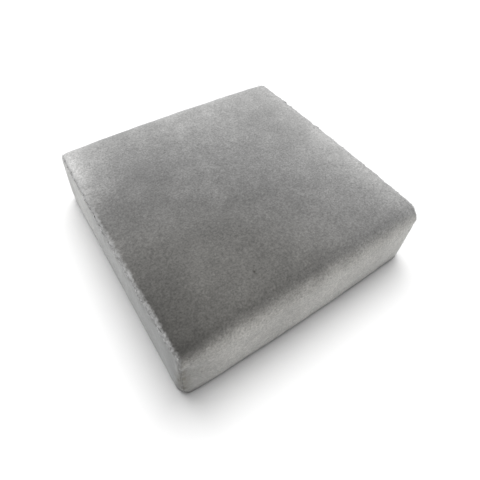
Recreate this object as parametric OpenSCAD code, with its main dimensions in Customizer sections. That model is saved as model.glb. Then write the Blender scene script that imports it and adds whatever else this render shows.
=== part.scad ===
// Square boxed floor cushion: laminated foam in fibre wadding and an inner lining,
// inside a zip-off velvet cover whose front, top and back are one seamless panel.
// Millimetres, +Z up. The origin is the middle of the underside, on the floor.
// -Y is the front, +Y is the back with the zip, -X and +X are the sewn-in side panels.

/* [Cushion] */
// Length of each side of the square footprint
side = 600; // [400:10:800]
// Height of the sewn top edges on the left and right
seam_height = 158; // [120:1:200]
// How far the middle of the top rises above those edges
crown = 8; // [2:1:14]
// Radius of the seamless rolls at the front and back of the top
roll_radius = 30; // [22:1:45]
// Radius of the four upright corners, seen from above
corner_radius = 12; // [6:1:20]
// Radius of the bottom edges
hem_radius = 4; // [3:0.5:6]

/* [Filling] */
// Thickness of the polyester wadding wrapped round the foam
wadding_thickness = 10; // [6:1:20]
// Height of the firm foam slab, from its own underside
firm_foam_height = 92; // [60:1:95]

/* [Cover] */
// Thickness of the velvet, with its pile
velvet = 2; // [1.5:0.1:2.5]
// Space inside the cover for turned seam allowances
allowance_space = 1.4; // [1.3:0.1:2]
// Thickness of the inner lining
lining = 0.8; // [0.5:0.1:1.2]
// Width and height of the sewn-in care label
label_size = 40; // [25:1:60]

/* [Zip] */
// Height of the middle of the zip above the floor
zip_height = 34; // [32:1:60]
// How deep the zip sits below the back of the cover
zip_recess = 6; // [6:0.5:8]
// Distance from each end of the toothed chain to the side of the cushion
zip_margin = 35; // [35:1:80]
// Width of each zip tape
tape_width = 12; // [10:1:13]
// Length of the pull tab from its hinge to its tip
tab_length = 24; // [16:1:24]

/* [Hidden] */
half = side / 2;
total_height = seam_height + crown;
arc_steps = 8;
crown_steps = 16;

// Depths below the outer surface of the cover at which each layer starts
lining_depth = velvet + allowance_space;
wadding_depth = lining_depth + lining;
foam_depth = wadding_depth + wadding_thickness;
wadding_joint_gap = 0.2;
foam_split = foam_depth + firm_foam_height;

// The groove in the back that holds the zip
groove_half_length = half - 12;
groove_floor_half = 16;
groove_ramp = 8;
filling_clearance = 3;
foam_recess = 4;
slot_half_height = 4.5;

// Zip chain, seen across its thickness: tape_front lies on the inside of the cover's lips
chain_length = side - 2 * zip_margin;
tape_thickness = 0.6;
tape_front = half - zip_recess - velvet;
chain_mid = tape_front - tape_thickness / 2;
chain_thickness = 2.6;
tooth_outer = 2.9;
chain_gap_half = 0.6;
stop_length = 3;
tape_overrun = 10;
slot_half_length = chain_length / 2 + tape_overrun;

// Slider
slider_length = 10;
slider_half_width = 3.9;
plate = 0.9;
plate_gap = chain_thickness / 2 + 0.35;
flange_inner = tooth_outer + 0.4;
flange_gap = tape_thickness / 2 + 0.35;
neck_half_width = 0.3;
neck_length = 2;
slider_x = chain_length / 2 - slider_length / 2 - 0.5;
plate_front = chain_mid + plate_gap + plate;
bridge_half_width = 0.8;
bridge_length = 7;
bridge_opening = [4.2, 1.75];
bridge_thickness = 1;

// Pull tab: its crossbar is the hinge pin
pin_radius = 0.55;
pin_y = plate_front + 0.35 + pin_radius;
tab_half_width = 3;
tab_arm_inner = bridge_half_width + 0.4;
tab_eye_end = 4.2;
tab_hole_radius = 1.2;

// Sewing threads
thread = 1;
thread_depth = velvet + 0.2;
thread_corner = sqrt(pow(corner_radius - velvet, 2) - pow(corner_radius - thread_depth, 2)) - 0.1;
base_thread = 0.8;
zip_thread = 0.6;
zip_thread_offset = 8;

velvet_grey = [0.52, 0.52, 0.50];
base_grey = [0.40, 0.40, 0.39];
thread_grey = [0.62, 0.62, 0.60];
tape_grey = [0.36, 0.36, 0.36];
chain_grey = [0.45, 0.45, 0.46];
metal_grey = [0.70, 0.70, 0.72];
lining_white = [0.90, 0.88, 0.83];
wadding_white = [0.95, 0.95, 0.95];
firm_foam_colour = [0.86, 0.83, 0.70];
soft_foam_colour = [0.93, 0.91, 0.84];
label_white = [0.97, 0.97, 0.96];

// Points on an arc from angle a0 to a1
function arc(centre, radius, a0, a1, steps = arc_steps) =
    [for (i = [0:steps])
        let (a = a0 + (a1 - a0) * i / steps)
        centre + radius * [cos(a), sin(a)]];

// A radius as it is at some depth below the outer surface
function inset_radius(radius, depth) = max(radius - depth, 0.5);

// Front-to-back section: rolled top edges, small bottom edges
function section_front_to_back(depth) =
    let (
        edge = half - depth,
        top = total_height - depth,
        roll = inset_radius(roll_radius, depth),
        hem = inset_radius(hem_radius, depth)
    )
    concat(
        arc([edge - hem, depth + hem], hem, -90, 0),
        arc([edge - roll, top - roll], roll, 0, 90),
        arc([roll - edge, top - roll], roll, 90, 180),
        arc([hem - edge, depth + hem], hem, 180, 270)
    );

// Side-to-side section: crisp sewn top edges with a crown between them
function section_side_to_side(depth) =
    let (
        edge = half - depth,
        hem = inset_radius(hem_radius, depth)
    )
    concat(
        arc([edge - hem, depth + hem], hem, -90, 0),
        [for (i = [-crown_steps:crown_steps])
            let (share = i / crown_steps)
            [-edge * share, seam_height - depth + crown * (1 - share * share)]],
        arc([hem - edge, depth + hem], hem, 180, 270)
    );

// Outline seen from above
function plan_outline(depth) =
    let (
        edge = half - depth,
        radius = inset_radius(corner_radius, depth),
        centre = edge - radius
    )
    concat(
        arc([centre, centre], radius, 0, 90),
        arc([-centre, centre], radius, 90, 180),
        arc([-centre, -centre], radius, 180, 270),
        arc([centre, -centre], radius, 270, 360)
    );

// Cuts the zip's groove out of the back, to a given depth below the flat back
module zip_groove(depth, recess) {
    floor_y = half - depth - recess;
    floor_half = groove_floor_half + depth / 2;
    mouth_half = floor_half + groove_ramp;
    rotate([90, 0, 90])
        linear_extrude(height = 2 * (groove_half_length + depth), center = true)
            polygon([
                [floor_y, zip_height - floor_half],
                [half + 1, zip_height - mouth_half * 1.2],
                [half + 1, zip_height + mouth_half * 1.2],
                [floor_y, zip_height + floor_half]
            ]);
}

// The whole cushion, shrunk by a depth on every side
module envelope(depth, recess = zip_recess) {
    difference() {
        intersection() {
            rotate([90, 0, 90])
                linear_extrude(height = side - 2 * depth, center = true)
                    polygon(section_front_to_back(depth));
            rotate([90, 0, 0])
                linear_extrude(height = side - 2 * depth, center = true)
                    polygon(section_side_to_side(depth));
            linear_extrude(height = total_height)
                polygon(plan_outline(depth));
        }
        zip_groove(depth, recess);
    }
}

// A hollow layer between two depths
module layer(outer, inner, outer_recess, inner_recess) {
    difference() {
        envelope(outer, outer_recess);
        envelope(inner, inner_recess);
    }
}

module cover_shell() {
    layer(0, velvet, zip_recess, zip_recess);
}

// Box from its lowest corner to its highest
module block(low, high) {
    translate(low)
        cube(high - low);
}

// The plate of space that one side panel takes
module side_slab(direction) {
    translate([direction * (half - velvet / 2), 0, total_height / 2])
        cube([velvet, side + 2, total_height + 2], center = true);
}

module base_slab() {
    block([-half - 1, -half - 1, -1], [half + 1, half + 1, velvet]);
}

module facing_region() {
    block([-half - 1, half - 40, velvet], [half + 1, half + 1, zip_height]);
}

module zip_slot() {
    block(
        [-slot_half_length, half - 20, zip_height - slot_half_height],
        [slot_half_length, half + 1, zip_height + slot_half_height]
    );
}

module cover_wrap_panel() {
    color(velvet_grey)
        difference() {
            cover_shell();
            side_slab(-1);
            side_slab(1);
            base_slab();
            facing_region();
            zip_slot();
        }
}

module cover_side_panel(direction) {
    color(velvet_grey)
        difference() {
            intersection() {
                envelope(0);
                side_slab(direction);
            }
            base_slab();
        }
}

module cover_base_panel() {
    color(base_grey)
        intersection() {
            envelope(0);
            base_slab();
        }
}

module cover_zip_facing() {
    color(velvet_grey)
        difference() {
            intersection() {
                cover_shell();
                facing_region();
            }
            side_slab(-1);
            side_slab(1);
            zip_slot();
        }
}

// A flat plate inside one side panel, with the outline of its seams
module thread_plate(direction, inset) {
    edge = half - corner_radius + thread_corner - inset;
    outer_x = half - thread_depth;
    intersection() {
        translate([direction * (outer_x - thread / 2), 0, 0])
            rotate([90, 0, 90])
                linear_extrude(height = thread * (1 + inset), center = true)
                    polygon(section_front_to_back(thread_depth + inset));
        block(
            [-half, -edge, hem_radius + inset],
            [half, edge, seam_height - thread_depth - inset]
        );
    }
}

// A loop of thread inside the seams round one side panel
module seam_thread_side(direction) {
    color(thread_grey)
        difference() {
            thread_plate(direction, 0);
            thread_plate(direction, thread);
        }
}

module seam_thread_base() {
    far = half - velvet - 0.8;
    low = velvet + 0.5;
    length = side - 2 * corner_radius;
    color(thread_grey)
        for (direction = [-1, 1])
            translate([0, direction * (far - base_thread / 2), low + base_thread / 2])
                cube([length, base_thread, base_thread], center = true);
}

// Two rows of topstitching through the cover and the zip tapes
module seam_thread_zip() {
    color(thread_grey)
        for (direction = [-1, 1])
            translate([
                0,
                tape_front + velvet + zip_thread / 2,
                zip_height + direction * zip_thread_offset
            ])
                cube([2 * slot_half_length, zip_thread, zip_thread], center = true);
}

// Places a piece of the upper half of the zip, and mirrors it for the lower half
module zip_half(direction) {
    translate([0, chain_mid, zip_height])
        mirror([0, 0, direction < 0 ? 1 : 0])
            children();
}

module zip_tape(direction) {
    length = chain_length / 2 + tape_overrun;
    color(tape_grey)
        zip_half(direction)
            block(
                [-length, -tape_thickness / 2, tooth_outer],
                [length, tape_thickness / 2, tooth_outer + tape_width]
            );
}

module zip_teeth(direction) {
    color(chain_grey)
        zip_half(direction)
            block(
                [-chain_length / 2, -chain_thickness / 2, chain_gap_half],
                [chain_length / 2, chain_thickness / 2, tooth_outer]
            );
}

module zip_top_stops() {
    start = chain_length / 2;
    color(metal_grey)
        for (direction = [-1, 1])
            zip_half(direction)
                block(
                    [start, -chain_thickness / 2, chain_gap_half],
                    [start + stop_length, chain_thickness / 2, tooth_outer]
                );
}

module zip_bottom_stop() {
    start = -chain_length / 2 - stop_length;
    color(metal_grey)
        translate([0, chain_mid, zip_height])
            block(
                [start, -chain_thickness / 2, -tooth_outer],
                [start + stop_length, chain_thickness / 2, tooth_outer]
            );
}

// One face of the slider, with flanges that reach towards the tape
module slider_face() {
    block(
        [-slider_length / 2, plate_gap, -slider_half_width],
        [slider_length / 2, plate_gap + plate, slider_half_width]
    );
    for (direction = [0, 1])
        mirror([0, 0, direction])
            block(
                [-slider_length / 2, flange_gap, flange_inner],
                [slider_length / 2, plate_gap, slider_half_width]
            );
}

module slider_bridge() {
    opening_top = plate_gap + plate + bridge_opening[1];
    difference() {
        block(
            [-bridge_length / 2, plate_gap + plate, -bridge_half_width],
            [bridge_length / 2, opening_top + bridge_thickness, bridge_half_width]
        );
        block(
            [-bridge_opening[0] / 2, plate_gap + plate - 1, -bridge_half_width - 1],
            [bridge_opening[0] / 2, opening_top, bridge_half_width + 1]
        );
    }
}

module zip_slider() {
    neck_start = slider_length / 2 - neck_length - 0.5;
    color(metal_grey)
        translate([slider_x, chain_mid, zip_height]) {
            slider_face();
            mirror([0, 1, 0])
                slider_face();
            block(
                [neck_start, -plate_gap, -neck_half_width],
                [neck_start + neck_length, plate_gap, neck_half_width]
            );
            slider_bridge();
        }
}

// Lies back along the chain at rest and turns about the crossbar
module zip_pull_tab() {
    thickness = 2 * pin_radius;
    color(metal_grey)
        translate([slider_x, pin_y, zip_height]) {
            cylinder(h = 2 * tab_arm_inner + 0.2, r = pin_radius, center = true, $fn = 32);
            for (direction = [0, 1])
                mirror([0, 0, direction]) {
                    translate([0, 0, tab_arm_inner])
                        cylinder(h = tab_half_width - tab_arm_inner, r = pin_radius, $fn = 32);
                    block(
                        [-tab_eye_end, -pin_radius, tab_arm_inner],
                        [0, pin_radius, tab_half_width]
                    );
                }
            difference() {
                union() {
                    block(
                        [tab_half_width - tab_length, -pin_radius, -tab_half_width],
                        [-tab_eye_end, pin_radius, tab_half_width]
                    );
                    translate([tab_half_width - tab_length, pin_radius, 0])
                        rotate([90, 0, 0])
                            cylinder(h = thickness, r = tab_half_width, $fn = 64);
                }
                translate([tab_half_width - tab_length, pin_radius + 1, 0])
                    rotate([90, 0, 0])
                        cylinder(h = thickness + 2, r = tab_hole_radius, $fn = 48);
            }
        }
}

module care_label() {
    label_thickness = 0.4;
    label_y = half - velvet - 0.5;
    label_low = zip_height + groove_floor_half + 2 * groove_ramp;
    color(label_white)
        translate([-half / 2, label_y - label_thickness, label_low])
            cube([label_size, label_thickness, label_size]);
}

module inner_lining_bag() {
    recess = zip_recess + filling_clearance;
    color(lining_white)
        layer(lining_depth, wadding_depth, recess, recess);
}

module wadding_shell() {
    layer(wadding_depth, foam_depth, zip_recess + filling_clearance, foam_recess);
}

// Slab at one end of the foam, as thick as the wadding and a joint gap more
module wadding_end_slab(direction, joint_gap = 0) {
    thickness = wadding_thickness + joint_gap;
    translate([direction * (half - wadding_depth - thickness / 2), 0, total_height / 2])
        cube([thickness, side, total_height], center = true);
}

module wadding_sleeve() {
    color(wadding_white)
        difference() {
            wadding_shell();
            wadding_end_slab(-1, wadding_joint_gap);
            wadding_end_slab(1, wadding_joint_gap);
        }
}

module wadding_end(direction) {
    color(wadding_white)
        intersection() {
            envelope(wadding_depth, zip_recess + filling_clearance);
            wadding_end_slab(direction);
        }
}

module foam_firm_core() {
    color(firm_foam_colour)
        intersection() {
            envelope(foam_depth, foam_recess);
            block([-half, -half, 0], [half, half, foam_split]);
        }
}

module foam_comfort_layer() {
    color(soft_foam_colour)
        intersection() {
            envelope(foam_depth, foam_recess);
            block([-half, -half, foam_split], [half, half, total_height]);
        }
}

foam_firm_core();
foam_comfort_layer();
wadding_sleeve();
wadding_end(-1);  // wadding_end_left
wadding_end(1);  // wadding_end_right
inner_lining_bag();
cover_wrap_panel();
cover_side_panel(-1);  // cover_side_panel_left
cover_side_panel(1);  // cover_side_panel_right
cover_base_panel();
cover_zip_facing();
seam_thread_side(-1);  // seam_thread_left
seam_thread_side(1);  // seam_thread_right
seam_thread_base();
seam_thread_zip();
zip_tape(1);  // zip_tape_upper
zip_tape(-1);  // zip_tape_lower
zip_teeth(1);  // zip_teeth_upper
zip_teeth(-1);  // zip_teeth_lower
zip_top_stops();
zip_bottom_stop();
zip_slider();
zip_pull_tab();
care_label();
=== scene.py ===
import math

import bmesh
import bpy
import numpy as np
from mathutils import Matrix, Vector


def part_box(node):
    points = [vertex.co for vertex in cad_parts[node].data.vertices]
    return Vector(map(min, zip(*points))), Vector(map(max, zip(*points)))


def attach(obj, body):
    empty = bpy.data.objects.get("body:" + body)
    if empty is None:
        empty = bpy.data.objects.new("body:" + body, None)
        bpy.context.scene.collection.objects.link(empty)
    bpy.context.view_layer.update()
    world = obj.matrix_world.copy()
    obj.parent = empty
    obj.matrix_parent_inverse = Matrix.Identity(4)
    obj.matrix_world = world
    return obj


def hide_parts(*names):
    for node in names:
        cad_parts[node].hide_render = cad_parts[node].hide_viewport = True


# A square boxed floor cushion in grey velvet: foam in wadding and a lining, inside a zip-off cover.
# Metres, +Z up. -Y is the front, +Y is the back with the zip, -X and +X are the sewn-in sides.
# Every piece is made in block space, where the cushion is a straight block with rolled front and
# back top edges, and then settles into the leaning, crowned shape of the real cushion.

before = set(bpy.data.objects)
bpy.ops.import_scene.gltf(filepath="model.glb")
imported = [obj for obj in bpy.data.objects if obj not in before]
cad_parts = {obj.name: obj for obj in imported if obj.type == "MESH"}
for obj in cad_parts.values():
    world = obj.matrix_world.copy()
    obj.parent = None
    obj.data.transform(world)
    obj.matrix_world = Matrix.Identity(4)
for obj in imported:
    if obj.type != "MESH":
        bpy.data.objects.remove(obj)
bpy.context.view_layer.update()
MM = 0.001

# ---- Sizes from the frame ----
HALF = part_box("cover_side_panel_right")[1].x
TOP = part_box("cover_wrap_panel")[1].z
SEAM_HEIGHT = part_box("cover_side_panel_right")[1].z
LINING_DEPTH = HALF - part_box("inner_lining_bag")[1].x
WADDING_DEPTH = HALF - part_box("wadding_end_right")[1].x
FOAM_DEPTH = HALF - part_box("foam_firm_core")[1].x
FOAM_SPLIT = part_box("foam_comfort_layer")[0].z
ZIP_Z = (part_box("zip_teeth_lower")[0].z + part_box("zip_teeth_upper")[1].z) / 2
CHAIN_Y = (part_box("zip_teeth_upper")[0].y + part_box("zip_teeth_upper")[1].y) / 2
CHAIN_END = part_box("zip_teeth_upper")[1].x
TAPE_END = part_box("zip_tape_upper")[1].x
LIP_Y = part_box("seam_thread_zip")[0].y
ZIP_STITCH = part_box("seam_thread_zip")[1].z - ZIP_Z - 0.3 * MM
SLOT_HALF = 4.5 * MM

# ---- Shape of the settled cushion ----
ROLL = 31 * MM
CORNER_LOW = 24 * MM
CORNER_HIGH = 5 * MM
CORNER_SOFT = 10 * MM
CORNER_DROP = 3 * MM
LEAN = 10 * MM
BOW = 3 * MM
FLARE = 4.5 * MM
END_DROP = 1 * MM
START_SINK = 3 * MM
SWELL_CAP = 4 * MM
SHOULDER = 6 * MM
HEM = 4.5 * MM
LIP = 1.0 * MM
RIDGE = 1.2 * MM
PUCKER = 3.2 * MM
VELVET = 1.9 * MM

# ---- Lengths along the front-to-back section, from the front bottom edge ----
UP = TOP - ROLL
QUARTER = ROLL * math.pi / 2
FLAT = 2 * (HALF - ROLL)
S_TOP = UP + QUARTER
S_BACK_ROLL = S_TOP + FLAT
S_BACK = S_BACK_ROLL + QUARTER
S_END = S_BACK + UP
S_ZIP = S_END - ZIP_Z
LOOP = S_END + 2 * HALF
MID_Z = TOP / 2
MID_HALF = HALF - MID_Z


# ---------------------------------------------------------------- shape


def smooth_step(low, high, value):
    t = np.clip((value - low) / (high - low), 0, 1)
    return t * t * (3 - 2 * t)


def unit(vectors):
    return vectors / np.linalg.norm(vectors, axis=1, keepdims=True)


def spots(x, y, z):
    """Points from coordinates, of which some may be single numbers."""
    return np.stack(np.broadcast_arrays(x, y, z), -1)


def section(s):
    """Place (y, z) and outward direction at s along the closed section: front, top, back, base."""
    s = np.asarray(s, float)
    turn = np.clip((s - UP) / ROLL, 0, math.pi / 2) + np.clip((s - S_BACK_ROLL) / ROLL, 0, math.pi / 2)
    out_y, out_z = -np.cos(turn), np.sin(turn)
    y = ROLL - HALF + np.clip(s - S_TOP, 0, FLAT) + ROLL * out_y
    z = np.clip(s, 0, UP) - np.clip(s - S_BACK, 0, None) + ROLL * out_z
    base = s > S_END
    y = np.where(base, HALF - (s - S_END), y)
    z = np.where(base, 0, z)
    out_y = np.where(base, 0, out_y)
    out_z = np.where(base, -1, out_z)
    return y, z, out_y, out_z


def block_points(x, s, shrink=0.0, below=0.0):
    """Points of a block below the outer surface. shrink moves an end face's points to its middle line."""
    y, z, out_y, out_z = section(s)
    y = y - out_y * below
    z = z - out_z * below
    mid_y = np.clip(y, -MID_HALF, MID_HALF)
    return spots(x, y + (mid_y - y) * shrink, z + (MID_Z - z) * shrink)


def settle(points):
    """Turns block space into the real shape: rounded corners, crown, leaning sides and bowed edges."""
    x, y, z = (points[..., k].copy() for k in range(3))
    height = np.clip(z / TOP, 0, 1)
    back_left = smooth_step(0, -HALF, x) * smooth_step(0, HALF, y)
    corner = CORNER_LOW + (CORNER_HIGH - CORNER_LOW + CORNER_SOFT * back_left) * height
    core = HALF - corner
    dx = np.maximum(abs(x) - core, 0)
    roll_y, roll_z = np.maximum(abs(y) - HALF + ROLL, 0), np.maximum(z - TOP + ROLL, 0)
    radius = np.maximum(np.hypot(roll_y, roll_z), 1e-9)
    dr = np.maximum(radius - ROLL + corner, 0) * np.sqrt(roll_y / radius)
    pull = np.maximum(dx, dr) / np.maximum(np.hypot(dx, dr), 1e-9)
    x = np.sign(x) * (np.minimum(abs(x), core) + dx * pull)
    y = y - np.sign(y) * dr * (1 - pull) * roll_y / radius
    z = z - dr * (1 - pull) * roll_z / radius
    u2, v2 = (x / HALF) ** 2, (y / HALF) ** 2
    drop = (TOP - SEAM_HEIGHT) * u2 + END_DROP * v2 + START_SINK * (1 - u2) * (1 - v2)
    drop = drop + CORNER_DROP * (u2 * v2) ** 8
    z = z - height**2 * drop
    lean = 1 - LEAN / HALF * height**1.4
    x = x * (lean + BOW / HALF * height * (1 - v2))
    y = y * (lean + BOW / HALF * height * (1 - u2))
    y = y - FLARE * (1 - u2) * (1 - height) ** 2 * np.clip(-y / HALF, 0, 1) ** 2
    return np.stack([x, y, np.maximum(z, 0.05 * MM)], -1)


def waves(points, wavelength, seed, count=14):
    """Smooth seeded noise, about -1 to 1, from waves that cross at random angles."""
    draw = np.random.default_rng(seed)
    aim = draw.normal(size=(count, 3))
    aim = unit(aim) * draw.uniform(0.7, 1.4, (count, 1))
    phase = draw.uniform(0, 2 * math.pi, count)
    turns = points @ aim.T * (2 * math.pi / wavelength) + phase
    return np.cos(turns).sum(-1) / math.sqrt(count / 2) / 2


# ---------------------------------------------------------------- meshes


def mesh_object(name, points, faces, smooth=True):
    mesh = bpy.data.meshes.new(name)
    mesh.from_pydata(np.asarray(points, float).reshape(-1, 3).tolist(), [], faces)
    mesh.update()
    obj = bpy.data.objects.new(name, mesh)
    bpy.context.scene.collection.objects.link(obj)
    if smooth:
        mesh.shade_smooth()
    return obj


def grid_faces(rows, columns, closed=False):
    index = np.arange(rows * columns).reshape(rows, columns)
    if closed:
        index = np.concatenate([index, index[:, :1]], axis=1)
    corners = [index[:-1, :-1], index[1:, :-1], index[1:, 1:], index[:-1, 1:]]
    return np.stack(corners, -1).reshape(-1, 4).tolist()


def weld(points, faces):
    """Joins points that coincide. Returns the points, the faces and where each old point went."""
    flat = points.reshape(-1, 3)
    kept, where = np.unique(np.round(flat / (0.02 * MM)).astype(int), axis=0, return_inverse=True)
    where = where.ravel()
    joined = np.zeros((len(kept), 3))
    joined[where] = flat
    clean = []
    for face in faces:
        corners = list(dict.fromkeys(where[i] for i in face))
        if len(corners) > 2:
            clean.append([int(i) for i in corners])
    return joined, clean, where


def face_outward(obj, closed=True):
    """Makes the faces point away from the cushion's middle, or outward where the mesh is closed."""
    shape = bmesh.new()
    shape.from_mesh(obj.data)
    bmesh.ops.recalc_face_normals(shape, faces=shape.faces)
    if not closed:
        middle = Vector((0, 0, MID_Z))
        outward = sum(f.calc_area() * f.normal.dot(f.calc_center_median() - middle) for f in shape.faces)
        if outward < 0:
            bmesh.ops.reverse_faces(shape, faces=shape.faces)
    shape.to_mesh(obj.data)
    shape.free()
    obj.data.update()


def apply_modifiers(obj):
    graph = bpy.context.evaluated_depsgraph_get()
    made = bpy.data.meshes.new_from_object(obj.evaluated_get(graph), depsgraph=graph)
    old = obj.data
    obj.modifiers.clear()
    obj.data = made
    bpy.data.meshes.remove(old)
    made.name = obj.name
    return obj


def thicken(obj, thickness, thin=None):
    """Gives a one-sided panel its thickness, inwards. thin says where, from 0 to 1, it is thinner."""
    solid = obj.modifiers.new("Thickness", "SOLIDIFY")
    solid.thickness = thickness
    solid.offset = -1
    if thin is not None:
        group = obj.vertex_groups.new(name="full")
        for i, share in enumerate(thin.ravel()):
            group.add([i], float(1 - share), "REPLACE")
        solid.vertex_group = "full"
        solid.thickness_vertex_group = 0.4
    return apply_modifiers(obj)


def set_attribute(obj, name, values):
    layer = obj.data.attributes.new(name, "FLOAT", "POINT")
    layer.data.foreach_set("value", np.asarray(values, np.float32).ravel())


def join(name, parts):
    """One object from several point and face lists."""
    points, faces, start = [], [], 0
    for part_points, part_faces in parts:
        flat = np.asarray(part_points, float).reshape(-1, 3)
        points.append(flat)
        faces.extend([[int(i) + start for i in face] for face in part_faces])
        start += len(flat)
    return mesh_object(name, np.concatenate(points), faces)


def welded_object(name, points):
    """A closed skin from rows of points that each run round a loop."""
    joined, faces, where = weld(points, grid_faces(*points.shape[:2], closed=True))
    return mesh_object(name, joined, faces), where


def ring_frame(aims, reference):
    """Two directions square to each aim and to each other."""
    side = unit(np.cross(aims, reference))
    return side, np.cross(aims, side)


def circle(side, other, sides):
    """Directions round a circle, one row for each pair of square directions."""
    angle = np.arange(sides) * 2 * math.pi / sides
    return np.cos(angle)[:, None] * side[:, None, :] + np.sin(angle)[:, None] * other[:, None, :]


def capped_tube(rows, sides):
    """The faces of a tube of that many rows, with its ends closed."""
    last = (rows - 1) * sides
    ends = [list(range(sides - 1, -1, -1)), list(range(last, last + sides))]
    return grid_faces(rows, sides, closed=True) + ends


def tube(turns, samples, radius, reference, sides=6):
    """A smooth tube through a few points."""
    turns = np.asarray(turns, float)
    path = hermite(np.linspace(0, len(turns) - 1, samples), np.arange(len(turns), dtype=float), turns)
    ring = circle(*ring_frame(unit(np.gradient(path, axis=0)), reference), sides)
    return (path[:, None] + ring * radius).reshape(-1, 3), capped_tube(samples, sides)


def prism(name, near, far):
    """A solid between two equal outlines."""
    count = len(near)
    faces = [list(range(count)), list(range(2 * count - 1, count - 1, -1))]
    faces += [[i, (i + 1) % count, count + (i + 1) % count, count + i] for i in range(count)]
    obj = mesh_object(name, np.concatenate([near, far]), faces, smooth=False)
    face_outward(obj)
    return obj


def from_bmesh(name, shape):
    mesh = bpy.data.meshes.new(name)
    shape.to_mesh(mesh)
    shape.free()
    obj = bpy.data.objects.new(name, mesh)
    bpy.context.scene.collection.objects.link(obj)
    return obj


def finish_piece(obj, body, material, node):
    obj.data.materials.clear()
    obj.data.materials.append(material)
    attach(obj, body)
    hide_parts(node)
    return obj


# ---------------------------------------------------------------- swelling under pressure


def hermite(place, old, values):
    """Values given at the places old, read smoothly at place, along the first axis."""
    slope = np.gradient(values, old, axis=0)
    k = np.clip(np.searchsorted(old, place) - 1, 0, len(old) - 2)
    step = (old[k + 1] - old[k]).reshape(place.shape + (1,) * (values.ndim - 1))
    t = np.clip((place - old[k]) / (old[k + 1] - old[k]), 0, 1).reshape(step.shape)
    a, b = values[k], values[k + 1]
    curve = (2 * t**3 - 3 * t**2 + 1) * a + (3 * t**2 - 2 * t**3) * b
    return curve + step * ((t**3 - 2 * t**2 + t) * slope[k] + (t**3 - t**2) * slope[k + 1])


def loop_samples(step):
    """Places round the whole section, dense enough for its rolls, with the base's in line with the top's."""
    wall = np.linspace(0, UP, round(UP / step) + 1)
    quarter = np.linspace(0, QUARTER, 5)[1:-1]
    top = np.linspace(0, FLAT, 2 * round(FLAT / step / 2) + 1)
    base_y = np.concatenate([[HALF - ROLL / 2], top[::-1] - HALF + ROLL, [ROLL / 2 - HALF]])
    return np.concatenate([
        wall, UP + quarter, S_TOP + top, S_BACK_ROLL + quarter, S_BACK + wall, S_END + HALF - base_y
    ])


def row_samples(step, rings):
    """Places along the block from one end's middle line, over its edge and along it, to the other's."""
    shrink = np.linspace(1, 0, rings + 1)[:-1]
    x = np.linspace(-HALF, HALF, 2 * round(HALF / step) + 1)
    return (
        np.concatenate([np.full(rings, -HALF), x, np.full(rings, HALF)]),
        np.concatenate([shrink, np.zeros(len(x)), shrink[::-1]]),
    )


SWELL_STEP = 12 * MM
SWELL_RINGS = 6


def cloth_swell():
    """How far the filling's pressure pushes the cover out, by a cloth simulation held at seams and base."""
    s = loop_samples(SWELL_STEP)
    x, shrink = row_samples(SWELL_STEP, SWELL_RINGS)
    start = settle(block_points(x[:, None], s[None, :], shrink[:, None]))
    obj, where = welded_object("swelling_cover", start)
    face_outward(obj)
    points = np.array([v.co for v in obj.data.vertices])
    edge = (abs(abs(x) - HALF) < 1e-6) & (shrink < 1e-6)
    held = edge[:, None] | (s[None, :] >= S_END - 1e-6) | (s[None, :] < 1e-6)
    group = obj.vertex_groups.new(name="held")
    group.add([int(i) for i in np.unique(where.reshape(held.shape)[held])], 1.0, "REPLACE")
    cloth = obj.modifiers.new("Cloth", "CLOTH")
    cloth.settings.quality = 5
    cloth.settings.mass = 0.3
    cloth.settings.use_pressure = True
    cloth.settings.uniform_pressure_force = 4
    cloth.settings.vertex_group_mass = "held"
    cloth.settings.effector_weights.gravity = 0
    cloth.settings.tension_stiffness = 30
    cloth.settings.compression_stiffness = 30
    cloth.settings.shear_stiffness = 15
    cloth.settings.bending_stiffness = 2
    scene = bpy.context.scene
    cloth.point_cache.frame_start = 1
    cloth.point_cache.frame_end = 20
    for step in range(1, 21):
        scene.frame_set(step)
    graph = bpy.context.evaluated_depsgraph_get()
    swollen = obj.evaluated_get(graph)
    moved = np.array([v.co for v in swollen.data.vertices]) - points
    scene.frame_set(1)
    bpy.data.objects.remove(obj)
    far = np.linalg.norm(moved, axis=1, keepdims=True)
    print("swell before the cap, mm:", round(float(far.max() / MM), 2))
    moved *= SWELL_CAP * np.tanh(far / SWELL_CAP) / np.maximum(far, 1e-9)
    return moved[where].reshape(len(x), len(s), 3)


class Swell:
    """The simulated push, read smoothly anywhere on the block."""

    def __init__(self):
        self.s = loop_samples(SWELL_STEP)
        x, shrink = row_samples(SWELL_STEP, SWELL_RINGS)
        self.x = x[SWELL_RINGS:-SWELL_RINGS]
        self.shrink = np.concatenate([[0], shrink[-SWELL_RINGS:]])
        self.push = cloth_swell()

    def at(self, x, s, shrink=0.0):
        """The push at columns x and places s, as a grid. Where shrink is a list, x is one end."""
        if np.ndim(shrink) == 0:
            rows = self.push[SWELL_RINGS:-SWELL_RINGS]
            across = hermite(np.asarray(x, float), self.x, rows)
        else:
            rows = self.push[-SWELL_RINGS - 1 :] if x > 0 else self.push[: SWELL_RINGS + 1][::-1]
            across = hermite(np.asarray(shrink, float), self.shrink, rows)
        closed = np.concatenate([across, across[:, :1]], axis=1)
        along = hermite(np.asarray(s, float), np.append(self.s, LOOP), np.swapaxes(closed, 0, 1))
        return np.swapaxes(along, 0, 1)


swell = Swell()


# ---------------------------------------------------------------- cover


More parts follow.
